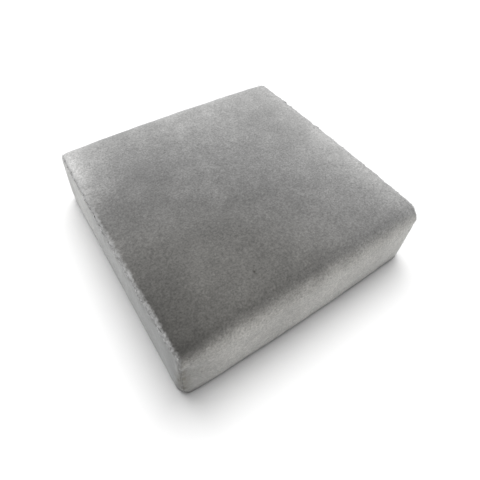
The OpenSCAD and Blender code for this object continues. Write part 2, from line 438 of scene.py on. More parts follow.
def lip_curve(share, shoulder):
    """Across one side of a seam, from its crease at 0 to flat cloth at 1: the shoulder's wide arc,
    then the lip's tight one, which turns into the crease. Gives distance in from the edge, depth
    and the way the surface faces, as an angle from the panel's own outward direction."""
    meet = math.pi / 4 - math.asin(LIP / (shoulder - LIP))
    lip = np.interp(share, [0, 0.6], [math.radians(135), meet])
    arm = np.where(share < 0.6, LIP, shoulder)
    turn = np.where(share < 0.6, lip, np.interp(share, [0.6, 1], [meet, 0]))
    fixed = np.where(share < 0.6, shoulder - LIP, 0)
    along = shoulder - fixed * math.sin(meet) - arm * np.sin(turn)
    below = shoulder - fixed * math.cos(meet) - arm * np.cos(turn)
    return along, below, turn


def lip_profile(shoulder):
    """Places across one side of a seam, from inside its crease out to flat cloth."""
    share = np.array([0, 0.12, 0.24, 0.36, 0.48, 0.6, 0.7, 0.8, 0.9, 1])
    along, below, _ = lip_curve(share, shoulder)
    tuck = 0.8 * MM
    flat = np.array([8.5, 11, 14]) * MM
    place = np.concatenate([[along[0] + tuck], along, flat])
    return place, np.concatenate([[below[0] + tuck], below, 0 * flat])


def free_profile():
    """Across a turned edge that isn't sewn to a neighbour, from the edge inwards."""
    curl = 1.1 * MM
    along = np.array([0, 0.25, 0.6, 1.1, 2.2, 4, 7, 10]) * MM
    rest = np.clip(curl - along, 0, None)
    return along, curl - np.sqrt(curl**2 - rest**2 * 0.96)


SEAM_CREASE = lip_curve(np.array(0.12), SHOULDER)[0]
HEM_CREASE = lip_curve(np.array(0.12), HEM)[0]
EDGES = {"seam": lip_profile(SHOULDER), "hem": lip_profile(HEM), "free": free_profile()}


def strip(length, step, start, end):
    """Places and depths across a panel of that length, with the edge profiles named."""
    near, near_below = EDGES[start]
    far, far_below = EDGES[end]
    low, high = near[-1], length - far[-1]
    middle = np.linspace(low, high, math.ceil((high - low) / step) + 1)[1:-1]
    place = np.concatenate([near, middle, length - far[::-1]])
    below = np.concatenate([near_below, np.zeros(len(middle)), far_below[::-1]])
    return place, below


def ridge(distance):
    """How far the sewn allowances inside push the velvet up beside a seam."""
    return RIDGE * np.exp(-((distance / (5 * MM)) ** 2))


def pucker(points, distance):
    """Small gathers beside a seam, deepest at the stitches and towards the near left corner."""
    gathers = waves(points, 23 * MM, 21) + 0.45 * waves(points, 11 * MM, 22)
    left = smooth_step(HALF / 2, -HALF / 2, points[..., 0])
    front = smooth_step(HALF, 0, points[..., 1])
    size = PUCKER * (0.2 + 0.8 * left * (0.25 + 0.75 * front))
    return size * gathers * np.exp(-distance / (7 * MM)) * np.clip(points[..., 2] / (30 * MM), 0.1, 1)


def pile_relief(points):
    """The velvet's uneven surface: soft dents and brushed pile."""
    dents = 0.5 * MM * waves(points, 95 * MM, 11) + 0.22 * MM * waves(points, 34 * MM, 12)
    return dents + 0.1 * MM * waves(points, 12 * MM, 13, 24)


def raised(points, seam):
    """How far the velvet stands off its block, at each distance from a seam."""
    return ridge(seam) + pucker(points, seam) + pile_relief(points) * np.clip(seam / (12 * MM), 0.15, 1)


def slot_opening(x):
    """Half the height of the gap between the zip's lips."""
    return SLOT_HALF * (1 - smooth_step(TAPE_END - 7 * MM, TAPE_END + 1 * MM, abs(x)))


GROOVE_FLAT = 14 * MM
GROOVE_MOUTH = 27 * MM


def press_zip_groove(points, floor, strength=1.0):
    """Sinks the back wall round the zip to a floor, exact where the zip lies."""
    near_zip = 1 - smooth_step(GROOVE_FLAT, GROOVE_MOUTH, abs(points[..., 2] - ZIP_Z))
    along = 1 - smooth_step(HALF - 15 * MM, HALF - 7 * MM, abs(points[..., 0]))
    share = np.where(points[..., 1] > HALF / 2, near_zip * along * strength, 0)
    points[..., 1] += (floor - points[..., 1]) * share
    return points


def crease_share(distance):
    """Near a side seam both panels are lifted along its diagonal, so that they stay together."""
    return np.exp(-np.maximum(distance - SEAM_CREASE, 0) / (6 * MM))


def cover_grid(x, s, below, seam_distance):
    """A panel over columns x and places s, settled and finished. x and s may be grids."""
    flat = block_points(x, s)
    settled = settle(flat)
    lift = raised(settled, seam_distance)
    zone = abs(settled[..., 2] - ZIP_Z) < GROOVE_MOUTH
    lift = np.where(zone & (settled[..., 1] > HALF / 2), lift * 0.3, lift)
    outward = np.sign(x) * lift * crease_share(HALF - abs(x))
    return settle(block_points(x + outward, s, 0.0, below - lift))


STEP = 4.6 * MM


def edge_distance(place, length):
    return np.minimum(place, length - place)


def stitch_dip(points):
    """The topstitching pulls the velvet in along each side of the zip."""
    off = abs(abs(points[..., 2] - ZIP_Z) - ZIP_STITCH)
    return 0.35 * MM * np.exp(-((off / (1.3 * MM)) ** 2))


ACROSS, ACROSS_BELOW = strip(2 * HALF, STEP, "seam", "seam")
ACROSS_X = (ACROSS - HALF)[:, None]


def velvet_strip(node, s, start, along, along_below, seam_along):
    """A panel from side to side. along runs on from start, and s is where the zip's slot moves it to."""
    below = ACROSS_BELOW[:, None] + along_below
    seam = np.minimum(edge_distance(ACROSS, 2 * HALF)[:, None], seam_along[None, :])
    points = cover_grid(ACROSS_X, s, below, seam)
    points += swell.at(ACROSS - HALF, start + along)
    points = press_zip_groove(points, LIP_Y - below - stitch_dip(points))
    obj = mesh_object(node + "_velvet", points, grid_faces(*points.shape[:2]))
    return finish_cloth(obj, seam, node)


def wrap_panel():
    """Front, top and back in one piece, down to the upper lip of the zip."""
    along, along_below = strip(S_ZIP, STEP, "hem", "free")
    end = S_ZIP - slot_opening(ACROSS_X)
    s = np.where(along > S_BACK, S_BACK + (along - S_BACK) * (end - S_BACK) / (S_ZIP - S_BACK), along)
    return velvet_strip("cover_wrap_panel", s, 0, along, along_below, along)


def zip_facing():
    """The strip of velvet between the zip and the base."""
    along, along_below = strip(ZIP_Z, 3 * MM, "free", "hem")
    start = S_ZIP + slot_opening(ACROSS_X)
    s = start + along * (S_END - start) / ZIP_Z
    return velvet_strip("cover_zip_facing", s, S_ZIP, along, along_below, ZIP_Z - along)


def side_panel(side, node):
    """A sewn-in side: rings that follow its seams, closed along its middle line."""
    s = loop_samples(STEP)
    along, below = EDGES["seam"]
    y, z, out_y, out_z = section(s)
    reach = (y - np.clip(y, -MID_HALF, MID_HALF)) * out_y + (z - MID_Z) * out_z
    lips = along[:, None] / reach
    inner = np.linspace(0, 1, 15)[1:, None]
    shrink = np.concatenate([lips, lips[-1] + (1 - lips[-1]) * inner])
    depth = np.concatenate([below, np.zeros(14)])[:, None]
    seam = shrink * reach
    flat = settle(block_points(side * HALF, s, shrink))
    lift = raised(flat, seam)
    spread = shrink - lift * crease_share(seam) / reach
    points = settle(block_points(side * (HALF - depth + lift), s, spread))
    points += swell_side(side, s, shrink)
    obj, where = welded_object(node + "_velvet", points)
    joined = np.zeros(len(obj.data.vertices))
    joined[where] = seam.ravel()
    return finish_cloth(obj, joined, node)


def swell_side(side, s, shrink):
    """The simulated push on an end face, where each place along s has its own rings."""
    levels = np.linspace(0, 1, 41)
    table = swell.at(side * HALF, s, levels)
    spot = np.clip(shrink, 0, 1) * (len(levels) - 1)
    k = np.clip(spot.astype(int), 0, len(levels) - 2)
    column = np.broadcast_to(np.arange(len(s)), shrink.shape)
    part = (spot - k)[..., None]
    return table[k, column] * (1 - part) + table[k + 1, column] * part


def base_panel():
    """The underside, flat on the floor."""
    across, across_below = strip(2 * HALF, 9 * MM, "seam", "seam")
    along, along_below = strip(2 * HALF, 9 * MM, "hem", "hem")
    x, y = np.meshgrid(across - HALF, along - HALF, indexing="ij")
    below = across_below[:, None] + along_below[None, :]
    seam = np.minimum(edge_distance(across, 2 * HALF)[:, None], edge_distance(along, 2 * HALF))
    relief = 0.25 * MM * (1 + waves(np.stack([x, y, 0 * x], -1), 60 * MM, 31))
    points = settle(np.stack([x, y, below + relief * np.clip(seam / (9 * MM), 0, 1)], -1))
    obj = mesh_object("cover_base_panel_velvet", points, grid_faces(*points.shape[:2]))
    return finish_cloth(obj, seam, "cover_base_panel", base=True)


def finish_cloth(obj, seam, node, base=False):
    """Thickness, the seam and hem attributes that the velvet reads, and what the piece stands for."""
    face_outward(obj, closed=False)
    seam = np.asarray(seam).ravel()
    height = np.array([v.co.z for v in obj.data.vertices])
    near = np.exp(-((seam / (8 * MM)) ** 2))
    # The seam attribute marks where the velvet is painted paler along the seams, a painted highlight.
    set_attribute(obj, "seam", near * smooth_step(4 * MM, 22 * MM, height))
    # The hem attribute darkens the velvet towards the floor, and the base panel towards its seams: painted
    # shade.
    set_attribute(obj, "hem", np.exp(-((seam / (6 * MM) if base else height / (12 * MM)) ** 2)))
    thicken(obj, VELVET, near)
    return finish_piece(obj, "cushion", VELVET_MATERIAL, node)


# ---------------------------------------------------------------- pile and thread at the seams


def seam_spots(side, s, across):
    """Places over a side seam's two lips, and which way their surface faces there, in block space.
    across runs from -1, on the side panel, over the crease at 0, to 1, on the wrap panel."""
    along, below, turn = lip_curve(abs(across), SHOULDER)
    lift = ridge(along) + pucker(settle(block_points(np.full(len(s), side * HALF), s)), along)
    along, below = along - lift * crease_share(along), below - lift
    y, z, out_y, out_z = section(s)
    on_wrap = across > 0
    inward_x = np.where(on_wrap, along, below)
    inward_s = np.where(on_wrap, below, along)
    face_x = np.where(on_wrap, np.sin(turn), np.cos(turn)) * side
    face_s = np.where(on_wrap, np.cos(turn), np.sin(turn))
    place = np.stack([side * (HALF - inward_x), y - out_y * inward_s, z - out_z * inward_s], -1)
    return place, np.stack([face_x, out_y * face_s, out_z * face_s], -1)


def spikes(base, tip, width):
    """Thin three-sided spikes, closed at the foot."""
    aim = unit(tip - base)
    side, other = ring_frame(aim, np.roll(aim, 1, axis=1) + 0.01)
    corners = [base + width[:, None] * (math.cos(a) * side + math.sin(a) * other) for a in (0, 2.1, 4.2)]
    points = np.stack([*corners, tip], 1)
    first = np.arange(len(base))[:, None] * 4
    pattern = np.array([[0, 1, 3], [1, 2, 3], [2, 0, 3], [2, 1, 0]])
    return points.reshape(-1, 3), (first[:, :, None] + pattern).reshape(-1, 3).tolist()


def seam_pile(side, name, seed):
    """The pile that stands up where the velvet folds into a side seam, pale with painted sheen."""
    draw = np.random.default_rng(seed)
    count = 16000
    s = draw.uniform(5 * MM, S_END - 5 * MM, count)
    across = np.clip(draw.normal(0.05, 0.4, count), -1, 1)
    place, face = seam_spots(side, s, across)
    clump = np.clip(0.5 + 0.8 * waves(place, 13 * MM, seed + 1), 0, 1)
    share = np.where((s < UP) | (s > S_BACK), 0.3, 1.0)
    kept = draw.uniform(0, 1, count) < share * (0.25 + 0.75 * clump)
    tuft = (s < 12 * MM) & (across > 0)
    kept |= tuft
    count, place, face, clump = kept.sum(), place[kept], face[kept], clump[kept]
    length = draw.uniform(0.6, 1.7, count) * np.where(tuft[kept], 2.2, 0.6 + 0.9 * clump) * MM
    tilt = draw.normal(0, 0.5, (count, 3))
    base = settle(place - face * 0.3 * MM)
    tip = settle(place + (face + tilt) * length[:, None])
    tip[:, 2] = np.maximum(tip[:, 2], 0.3 * MM)
    base[:, 2] = np.maximum(base[:, 2], 0.3 * MM)
    points, faces = spikes(base, tip, draw.uniform(0.16, 0.3, count) * MM)
    obj = mesh_object(name, points, faces, smooth=False)
    obj.data.materials.append(PILE_MATERIAL)
    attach(obj, "cushion")
    return obj


def bead_row(centres, aims, length, radius):
    """Slim rounded stitches, one on each centre, lying along its aim."""
    sides, rings = 6, 4
    aims = unit(aims)
    ring = circle(*ring_frame(aims, np.roll(aims, 1, axis=1) + 0.013), sides)[:, None]
    t = np.linspace(-1, 1, rings + 1)
    girth = radius * np.sqrt(np.clip(1 - t**4, 0.04, 1))
    body = centres[:, None, None, :] + aims[:, None, None, :] * (t * length / 2)[:, None, None]
    points = body + ring * girth[:, None, None]
    faces = []
    each = (rings + 1) * sides
    one = grid_faces(rings + 1, sides, closed=True)
    one += [list(range(sides)), list(range(each - 1, each - sides - 1, -1))]
    for k in range(len(centres)):
        faces += [[i + k * each for i in face] for face in one]
    return points.reshape(-1, 3), faces


def stitches(path, pitch, radius, fill=0.86):
    """Stitches end to end along a path."""
    steps = np.linalg.norm(np.diff(path, axis=0), axis=1)
    far = np.concatenate([[0], np.cumsum(steps)])
    count = int(far[-1] / pitch)
    middle = (np.arange(count) + 0.5) * far[-1] / count
    half = pitch / 2
    start, end = (spots(*[np.interp(middle + o, far, line) for line in path.T]) for o in (-half, half))
    return bead_row((start + end) / 2, end - start, pitch * fill, radius)


def thread_piece(node, parts):
    return finish_piece(join(node + "_stitches", parts), "cushion", THREAD_MATERIAL, node)


def side_thread(side, node):
    """The stitches in the crease round a side panel, and the thread ends left at its corners."""
    s = np.linspace(4 * MM, LOOP - 4 * MM, 700)
    edge = settle(block_points(np.full(len(s), side * HALF), s))
    crease = SEAM_CREASE - ridge(SEAM_CREASE) - pucker(edge, SEAM_CREASE)
    y, z, out_y, out_z = section(s)
    inner_y = np.clip(y, crease - HALF, HALF - crease)
    place = spots(side * (HALF - crease), inner_y, z)
    place[:, 1] -= np.where(abs(y) < HALF - crease, out_y * crease, 0)
    place[:, 2] = np.maximum(place[:, 2] - out_z * crease, crease)
    parts = [stitches(settle(place), 3.1 * MM, 0.42 * MM)]
    top_back, _ = seam_spots(side, np.array([S_BACK_ROLL + QUARTER * 0.55]), np.array([0.4]))
    low_front, _ = seam_spots(side, np.array([9 * MM]), np.array([0.5]))
    curls = [
        (top_back[0], [(0, 0, 0), (-1, 1.5, 1.2), (1, 3, 2.6), (4, 3.2, 2.2), (5, 1.5, 3.6)]),
        (top_back[0], [(0, 0, 0), (-2, -1, 1.5), (-3, 1, 3.4), (-1, 3.6, 3.2)]),
        (low_front[0], [(0, 0, 0), (1.5, -1.6, 0.6), (4, -2, -1.6), (6.5, -1.7, -1)]),
    ]
    for start, turns in curls:
        offsets = np.array(turns) * MM * np.array([-side, 1, 1])
        parts.append(tube(settle(start + offsets), 14, 0.3 * MM, [0.3, 0.2, 0.93]))
    return thread_piece(node, parts)


def base_thread():
    """The stitches along the front and back bottom seams."""
    x = np.linspace(12 * MM - HALF, HALF - 12 * MM, 400)
    paths = [spots(x, end * (HALF - HEM_CREASE), HEM_CREASE) for end in (-1, 1)]
    parts = [stitches(settle(path), 3.1 * MM, 0.4 * MM) for path in paths]
    return thread_piece("seam_thread_base", parts)


def zip_thread():
    """Two rows of topstitching, and a bar tack across each end."""
    x = np.linspace(-TAPE_END + 1 * MM, TAPE_END - 1 * MM, 500)
    parts = []
    for row in (-1, 1):
        path = spots(x, LIP_Y - 0.12 * MM, ZIP_Z + row * ZIP_STITCH)
        parts.append(stitches(path, 3.0 * MM, 0.32 * MM, 0.8))
    for end in (-1, 1):
        z = np.linspace(ZIP_Z - ZIP_STITCH, ZIP_Z + ZIP_STITCH, 30)
        for offset in (0.4, 1.0, 1.6):
            path = spots(end * (TAPE_END + offset * MM), LIP_Y - 0.1 * MM, z)
            parts.append(stitches(path, 2.3 * MM, 0.3 * MM, 0.95))
    return thread_piece("seam_thread_zip", parts)


# ---------------------------------------------------------------- zip


def zip_tape(upper):
    """Woven tape with a thicker beading edge under the teeth."""
    node = "zip_tape_upper" if upper else "zip_tape_lower"
    low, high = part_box(node)
    x = np.linspace(low.x, high.x, 240)
    share = np.array([0, 0.03, 0.08, 0.14, 0.2, 0.35, 0.5, 0.65, 0.8, 0.9, 0.97, 1])
    share = share if upper else 1 - share
    z = low.z + (high.z - low.z) * share
    bead = 0.22 * MM * np.exp(-(((share if upper else 1 - share) - 0.06) / 0.05) ** 2)
    ripple = 0.06 * MM * waves(np.stack(np.meshgrid(x, [0.0], z, indexing="ij"), -1)[:, 0], 17 * MM, 41)
    y = high.y - 0.12 * MM + np.broadcast_to(bead, ripple.shape) * 0.4 + ripple
    grid = spots(x[:, None], y, z)
    obj = mesh_object(node + "_weave", grid, grid_faces(len(x), len(z)))
    face_outward(obj, closed=False)
    thicken(obj, 0.5 * MM)
    return finish_piece(obj, "cushion", TAPE_MATERIAL, node)


TOOTH_PITCH = 1.3 * MM


def coil_tooth():
    """One turn of a nylon coil zip: two legs from the tape to a rounded head. Reaches from z 0 outwards."""
    half_y = (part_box("zip_teeth_upper")[1].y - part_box("zip_teeth_upper")[0].y) / 2 - 0.32 * MM
    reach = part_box("zip_teeth_upper")[1].z - ZIP_Z
    arc = np.radians(np.linspace(90, -90, 7))
    head = 0.68 * MM + half_y * (1 - np.cos(arc))
    y = np.concatenate([[half_y], half_y * np.sin(arc), [-half_y]])
    z = np.concatenate([[reach], head, [reach]])
    lean = np.linspace(-0.5, 0.5, len(y)) * TOOTH_PITCH * 0.42
    return np.stack([lean, y, z], -1)


def zip_teeth(upper):
    """A row of coil turns along one tape."""
    node = "zip_teeth_upper" if upper else "zip_teeth_lower"
    one, faces = tube(coil_tooth(), 13, 0.3 * MM, [1.0, 0, 0])
    count = int(2 * (CHAIN_END - 0.6 * MM) / TOOTH_PITCH)
    shift = 0.25 if upper else -0.25
    x = (np.arange(count) - (count - 1) / 2 + shift) * TOOTH_PITCH
    flip = 1 if upper else -1
    parts = [(one * np.array([1, 1, flip]) + np.array([place, CHAIN_Y, ZIP_Z]), faces) for place in x]
    obj = join(node + "_coil", parts)
    face_outward(obj)
    return finish_piece(obj, "cushion", TEETH_MATERIAL, node)


def rounded_block(name, low, high, radius):
    """A bevelled block between two corners."""
    shape = bmesh.new()
    bmesh.ops.create_cube(shape, size=1)
    size = Vector(high) - Vector(low)
    middle = (Vector(high) + Vector(low)) / 2
    bmesh.ops.scale(shape, vec=size, verts=shape.verts)
    bmesh.ops.translate(shape, vec=middle, verts=shape.verts)
    bmesh.ops.bevel(
        shape, geom=shape.edges[:], offset=radius, segments=3, profile=0.5, affect="EDGES", clamp_overlap=True
    )
    return from_bmesh(name, shape)


def combine(obj, operation, other):
    cut = obj.modifiers.new("Combine", "BOOLEAN")
    cut.operation = operation
    cut.solver = "EXACT"
    cut.object = other
    apply_modifiers(obj)
    bpy.data.objects.remove(other)


def union(name, objects):
    """Joins overlapping objects into one closed skin."""
    first = objects[0]
    for other in objects[1:]:
        combine(first, "UNION", other)
    first.name = name
    first.data.name = name
    return first


def soften(obj, width):
    """Rounds the remaining sharp edges and shades what is smooth as smooth."""
    bevel = obj.modifiers.new("Bevel", "BEVEL")
    bevel.width = width
    bevel.segments = 2
    bevel.limit_method = "ANGLE"
    bevel.angle_limit = math.radians(40)
    bevel.harden_normals = False
    apply_modifiers(obj)
    obj.data.shade_smooth()
    return obj


def zip_stops():
    low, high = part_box("zip_top_stops")
    pieces = []
    for part, (z0, z1) in enumerate([(low.z, ZIP_Z - 0.6 * MM), (ZIP_Z + 0.6 * MM, high.z)]):
        pieces.append(rounded_block(f"stop{part}", (low.x, low.y, z0), (high.x, high.y, z1), 0.6 * MM))
    top = union("zip_top_stops_crimped", pieces)
    top.data.shade_smooth()
    finish_piece(top, "cushion", METAL_MATERIAL, "zip_top_stops")
    low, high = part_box("zip_bottom_stop")
    staple = rounded_block("zip_bottom_stop_staple", low, high, 0.7 * MM)
    staple.data.shade_smooth()
    finish_piece(staple, "cushion", METAL_MATERIAL, "zip_bottom_stop")


def outline_plate(name, outline, y0, y1):
    """A flat plate with an outline in x and z, between two depths in y."""
    outline = np.asarray(outline, float)
    near, far = (spots(outline[:, 0], y, outline[:, 1]) for y in (y0, y1))
    return prism(name, near, far)


def zip_slider():
    """The slider's body narrows towards its closed end, with a bridge that holds the pull tab."""
    low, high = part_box("zip_slider")
    middle_x, half_x = (low.x + high.x) / 2, (high.x - low.x) / 2
    half_z = (high.z - low.z) / 2
    plate = 0.95 * MM
    waist = 0.8
    shape = [(-1, -0.62), (-0.8, -waist), (-0.1, -1), (0.55, -1), (1, -0.72), (1, 0.72), (0.55, 1), (-0.1, 1),
             (-0.8, waist), (-1, 0.62)]
    outline = [(middle_x + x * half_x, ZIP_Z + z * half_z) for x, z in shape]
    front_y = CHAIN_Y + 1.65 * MM
    plates = [
        outline_plate("slider_front", outline, front_y, front_y + plate),
        outline_plate("slider_rear", outline, 2 * CHAIN_Y - front_y - plate, 2 * CHAIN_Y - front_y),
    ]
    neck = rounded_block(
        "slider_neck",
        (middle_x + half_x - 2.5 * MM, 2 * CHAIN_Y - front_y - 0.2 * MM, ZIP_Z - 0.3 * MM),
        (middle_x + half_x - 0.5 * MM, front_y + 0.2 * MM, ZIP_Z + 0.3 * MM),
        0.12 * MM,
    )
    flanges = []
    for row in (-1, 1):
        for face in (-1, 1):
            z0, z1 = sorted((ZIP_Z + row * (half_z - 0.62 * MM), ZIP_Z + row * half_z * 0.985))
            y0, y1 = sorted((CHAIN_Y + face * 0.68 * MM, CHAIN_Y + face * 1.8 * MM))
            x0, x1 = middle_x - half_x * 0.12, middle_x + half_x * 0.56
            flanges.append(rounded_block(f"flange{row}{face}", (x0, y0, z0), (x1, y1, z1), 0.15 * MM))
    bridge = slider_bridge(middle_x, front_y + plate)
    body = union("zip_slider_body", [plates[0], plates[1], neck, *flanges, bridge])
    soften(body, 0.16 * MM)
    return finish_piece(body, "slider", METAL_MATERIAL, "zip_slider")


def slider_bridge(middle_x, foot_y):
    """The arched loop that the pull tab's crossbar passes under."""
    half_length, opening, height, thick = 3.5 * MM, 2.1 * MM, 1.75 * MM, 1.0 * MM
    foot = foot_y - 0.3 * MM
    rise = height + thick
    outer = [
        (middle_x + half_length * math.cos(a), foot_y + rise * math.sin(a) ** 0.55)
        for a in np.radians(np.linspace(180, 0, 13))
    ]
    inner = [
        (middle_x + opening * math.cos(a), foot + (height + 0.3 * MM) * math.sin(a) ** 0.5)
        for a in np.radians(np.linspace(0, 180, 11))
    ]
    outer[0] = (middle_x - half_length, foot)
    outer[-1] = (middle_x + half_length, foot)
    ring = np.array(outer + inner)
    low = spots(ring[:, 0], ring[:, 1], ZIP_Z - 0.8 * MM)
    return prism("slider_bridge", low, low + np.array([0, 0, 1.6 * MM]))


def pull_tab():
    """A flat tab with a hole at its tip and an eye at its crossbar."""
    low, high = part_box("zip_pull_tab")
    pin_y = (low.y + high.y) / 2
    radius = (high.y - low.y) / 2
    half_z = (high.z - low.z) / 2
    hinge_x = high.x - radius
    tip_x = low.x + half_z
    eye = 4.2 * MM
    neck_x, tail_x = hinge_x - eye - 3 * MM, tip_x + 5 * MM
    upper = [(hinge_x - eye, half_z * 0.96), (neck_x, half_z * 0.72), (tail_x, half_z * 0.82)]
    for a in np.radians(np.linspace(100, 180, 9)):
        upper.append((tip_x + half_z * math.cos(a), half_z * math.sin(a)))
    outline = upper + [(x, -z) for x, z in upper[::-1]]
    outline = [(x, ZIP_Z + z) for x, z in dict.fromkeys((round(x, 7), round(z, 7)) for x, z in outline)]
    blade = outline_plate("tab_blade", outline, pin_y - radius * 0.94, pin_y + radius * 0.94)
    turn = Matrix.Rotation(math.pi / 2, 4, "X")
    hole = bmesh.new()
    bmesh.ops.create_cone(hole, cap_ends=True, segments=40, radius1=1.2 * MM, radius2=1.2 * MM, depth=6 * MM)
    bmesh.ops.transform(hole, matrix=Matrix.Translation((tip_x, pin_y, ZIP_Z)) @ turn, verts=hole.verts)
    combine(blade, "DIFFERENCE", from_bmesh("hole", hole))
    pin = bmesh.new()
    bmesh.ops.create_cone(
        pin, cap_ends=True, segments=24, radius1=radius * 0.97, radius2=radius * 0.97, depth=half_z * 1.9
    )
    bmesh.ops.transform(pin, matrix=Matrix.Translation((hinge_x, pin_y, ZIP_Z)), verts=pin.verts)
    arms = []
    for row in (-1, 1):
        z0, z1 = sorted((ZIP_Z + row * 1.35 * MM, ZIP_Z + row * half_z * 0.95))
        arms.append(
            rounded_block(
                f"arm{row}",
                (hinge_x - eye - 0.4 * MM, pin_y - radius * 0.9, z0),
                (hinge_x + radius * 0.4, pin_y + radius * 0.9, z1),
                0.25 * MM,
            )
        )
    tab = union("zip_pull_tab_plate", [blade, from_bmesh("pin", pin), *arms])
    soften(tab, 0.14 * MM)
    return finish_piece(tab, "pull_tab", METAL_MATERIAL, "zip_pull_tab")


# ---------------------------------------------------------------- filling


ZIP_RECESS = 9 * MM
WADDING = 9.2 * MM


def layer_points(x, s, shrink, depth, fluff, fluff_size, seed):
    """A surface at a depth under the cover, following its swell, with the zip's recess."""
    _, _, out_y, out_z = section(s)
    grid = block_points(x[:, None], s[None, :], 0.0, depth)
    limit = HALF - depth
    grid[..., 1] = np.clip(grid[..., 1], -limit, limit)
    grid[..., 2] = np.maximum(grid[..., 2], depth)
    mid_y = np.clip(grid[..., 1], -MID_HALF, MID_HALF)
    grid[..., 1] += (mid_y - grid[..., 1]) * shrink[:, None]
    grid[..., 2] += (MID_Z - grid[..., 2]) * shrink[:, None]
    rough = fluff * (waves(grid, fluff_size, seed) + 0.5 * waves(grid, fluff_size / 2.7, seed + 1) - 0.9)
    face = np.where(shrink[:, None] > 0, 0, 1)
    grid[..., 1] += out_y * rough * face
    grid[..., 2] += np.where(grid[..., 2] > depth + 1e-6, out_z * rough * face, 0)
    grid[..., 0] += np.sign(x[:, None]) * rough * (1 - face)
    points = settle(grid)
    side = shrink > 0
    points[~side] += swell.at(x[~side], s)
    for end in (-1, 1):
        rings = side & (np.sign(x) == end)
        if rings.any():
            points[rings] += swell_side(end, s, np.repeat(shrink[rings][:, None], len(s), axis=1))
    return press_zip_groove(points, HALF - depth - ZIP_RECESS)


def layer_piece(name, points, closed, thickness, material, node):
    obj, _ = welded_object(name, points)
    face_outward(obj, closed)
    thicken(obj, thickness)
    return finish_piece(obj, "cushion", material, node)


def lining_bag():
    """A thin bag round the wadding, a little loose."""
    s = loop_samples(9 * MM)
    x, shrink = row_samples(9 * MM, 9)
    x = x * (HALF - LINING_DEPTH) / HALF
    points = layer_points(x, s, shrink, LINING_DEPTH, 0.35 * MM, 46 * MM, 61)
    name, node = "inner_lining_bag_cotton", "inner_lining_bag"
    return layer_piece(name, points, True, 0.6 * MM, LINING_MATERIAL, node)


def wadding_sleeve():
    """Fluffy wadding wrapped once round the foam, open at both ends."""
    s = loop_samples(7 * MM)
    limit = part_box("wadding_sleeve")[1].x
    x = np.linspace(-limit, limit, 84)
    points = layer_points(x, s, 0 * x, WADDING_DEPTH, 0.8 * MM, 24 * MM, 63)
    name, node = "wadding_sleeve_fibre", "wadding_sleeve"
    return layer_piece(name, points, False, WADDING, WADDING_MATERIAL, node)


def wadding_end(side):
    """A pad of wadding over one end of the foam."""
    node = "wadding_end_right" if side > 0 else "wadding_end_left"
    s = loop_samples(7 * MM)
    shrink = np.linspace(0, 1, 12)
    x = np.full(len(shrink), side * (HALF - WADDING_DEPTH))
    points = layer_points(x, s, shrink + 1e-9, WADDING_DEPTH, 0.7 * MM, 24 * MM, 64)
    return layer_piece(node + "_pad", points, False, WADDING, WADDING_MATERIAL, node)


def foam_slab(node, z0, z1, material, seed):
    """A slab cut from a foam block: crisp edges, faces roughened by its cells."""
    half = HALF - FOAM_DEPTH
    step = 8 * MM
    rounding = 3 * MM
    upper = z1 > TOP * 0.8
    top_radius = ROLL - FOAM_DEPTH if upper else rounding
    corners = [
        (rounding - half, z0 + rounding, rounding, 180, 270),
        (half - rounding, z0 + rounding, rounding, 270, 360),
        (half - top_radius, z1 - top_radius, top_radius, 0, 90),
        (top_radius - half, z1 - top_radius, top_radius, 90, 180),
    ]
    loop = []
    for k, (cy, cz, radius, a0, a1) in enumerate(corners):
        for angle in np.radians(np.linspace(a0, a1, 6)):
            loop.append((cy + radius * math.cos(angle), cz + radius * math.sin(angle)))
        following = corners[(k + 1) % 4]
        start = np.radians(following[3])
        goal = (following[0] + following[2] * math.cos(start), following[1] + following[2] * math.sin(start))
        last = loop[-1]
        count = max(int(math.dist(last, goal) / step), 1)
        for t in np.arange(1, count) / count:
            loop.append((last[0] + (goal[0] - last[0]) * t, last[1] + (goal[1] - last[1]) * t))
    loop = np.array(loop)
    rings = 8
    shrink = np.linspace(1, 0, rings + 1)[:-1]
    across = np.linspace(-half, half, 2 * round(half / step) + 1)
    x = np.concatenate([np.full(rings, -half), across, np.full(rings, half)])
    shrink = np.concatenate([shrink, np.zeros(len(across)), shrink[::-1]])
    mid_z = (z0 + z1) / 2
    mid_y = np.clip(loop[:, 0], -(half - (z1 - z0) / 2), half - (z1 - z0) / 2)
    toward = np.stack([mid_y - loop[:, 0], mid_z - loop[:, 1]], -1)
    yz = loop[None] + toward[None] * shrink[:, None, None]
    grid = np.concatenate([np.broadcast_to(x[:, None, None], yz.shape[:2] + (1,)), yz], -1).copy()
    cells = 0.25 * MM * waves(grid, 9 * MM, seed, 20)
    away = grid - np.array([0, 0, mid_z])
    grid = grid + away / np.linalg.norm(away, axis=-1, keepdims=True) * cells[..., None]
    points = press_zip_groove(settle(grid), HALF - FOAM_DEPTH - 4 * MM, 0.9)
    obj, _ = welded_object(f"{node}_slab", points)
    face_outward(obj)
    return finish_piece(obj, "cushion", material, node)


def care_label():
    """A blank woven label, sewn inside the back above the zip, its lower edge curled a little."""
    low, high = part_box("care_label")
    x = np.linspace(low.x, high.x, 26)
    z = np.linspace(low.z, high.z, 26)
    grid = np.stack(np.meshgrid(x, [HALF - 2.7 * MM], z, indexing="ij"), -1)[:, 0]
    curl = smooth_step(0.6, 1.0, (high.z - grid[..., 2]) / (high.z - low.z)) * 0.25 * MM
    grid[..., 1] += curl + 0.06 * MM * waves(grid, 16 * MM, 71)
    points = settle(grid)
    obj = mesh_object("care_label_woven", points, grid_faces(len(x), len(z)))
    face_outward(obj, closed=False)
    thicken(obj, 0.3 * MM)
    return finish_piece(obj, "cushion", LABEL_MATERIAL, "care_label")


# ---------------------------------------------------------------- materials


